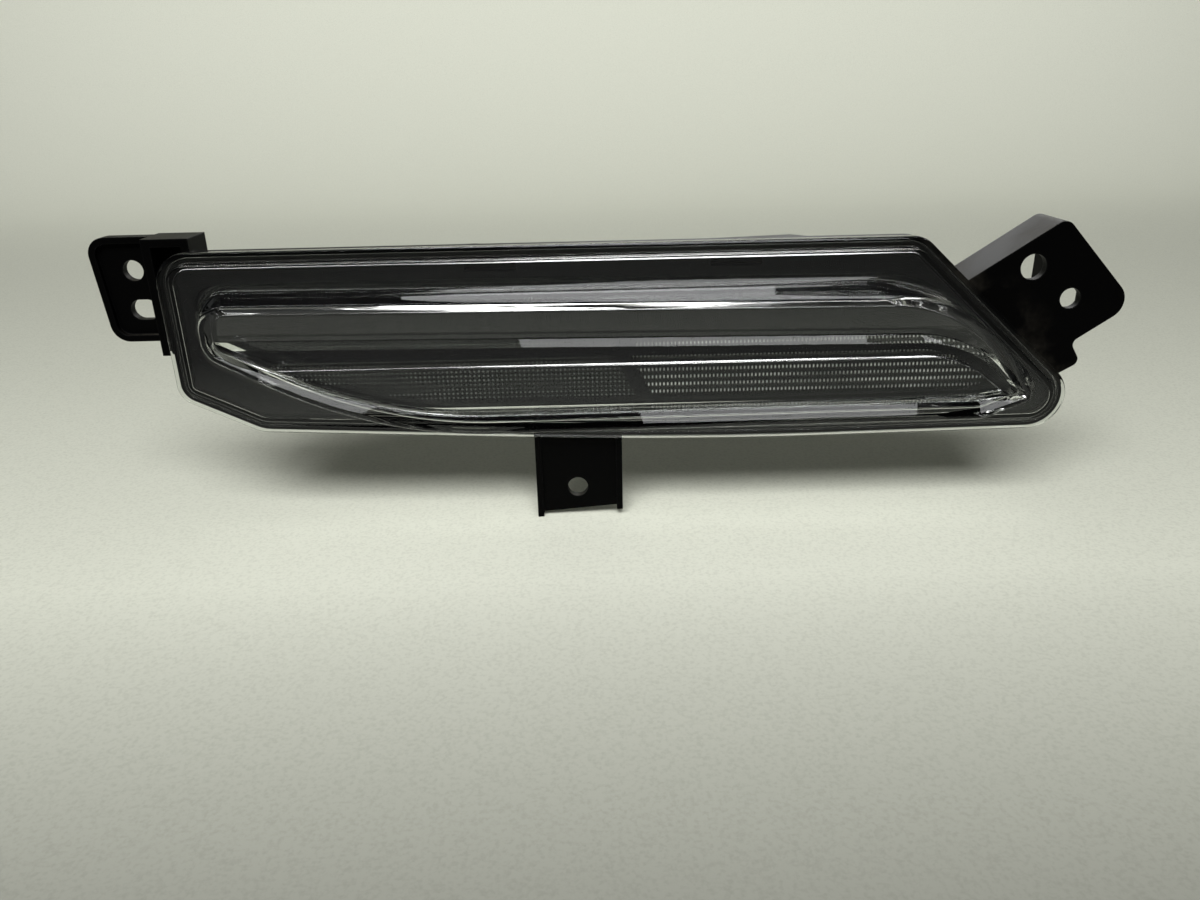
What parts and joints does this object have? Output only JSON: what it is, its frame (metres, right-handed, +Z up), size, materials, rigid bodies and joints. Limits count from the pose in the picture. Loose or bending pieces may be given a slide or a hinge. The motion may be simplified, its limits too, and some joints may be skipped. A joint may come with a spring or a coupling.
{
  "type": "reversing light",
  "caption": "Clear-lensed reversing and rear fog lamp for a bumper corner, black moulded housing with screw brackets, centre tab and rear connector socket.",
  "frame": {"origin": "on the axis of the centre tab's screw hole, at the tab's front face, which the screw head clamps", "axes": "+X along the lamp to the right as seen from the front, -Y out of the lens along the screw axes, +Z up"},
  "size_m": [0.2887, 0.0585, 0.0871],
  "materials": {
    "housing_black": "moulded, fine grain, dusty",
    "lens_clear": "clear moulded acrylic",
    "bezel_black": "moulded satin black",
    "optic_clear": "clear acrylic with pillows and flutes",
    "reflector_silver": "vacuum metallised",
    "board_white": "white solder mask",
    "led_yellow": "phosphor dome",
    "chip_black": "moulded epoxy",
    "capacitor_can": "can",
    "pad_grey": "silicone pad",
    "spreader_aluminium": "extruded",
    "screw_steel": "zinc plated",
    "header_black": "glass filled",
    "pin_brass": "tin plated",
    "membrane_white": "porous film",
    "cap_black": "moulded"
  },
  "bodies": {
    "root": {"housing": "housing_black", "outer_lens": "lens_clear", "inner_bezel": "bezel_black", "fog_optic": "optic_clear", "reverse_optic": "optic_clear", "fog_reflector": "reflector_silver", "reverse_reflector": "reflector_silver", "led_board": "board_white", "fog_leds": "led_yellow", "reverse_leds": "led_yellow", "driver_chip": "chip_black", "resistors": "chip_black", "capacitors": "capacitor_can", "thermal_pad": "pad_grey", "heat_spreader": "spreader_aluminium", "board_screws": "screw_steel", "connector_header": "header_black", "terminal_pins": "pin_brass", "breather_membrane": "membrane_white", "breather_cap": "cap_black"}
  },
  "joints": []
}
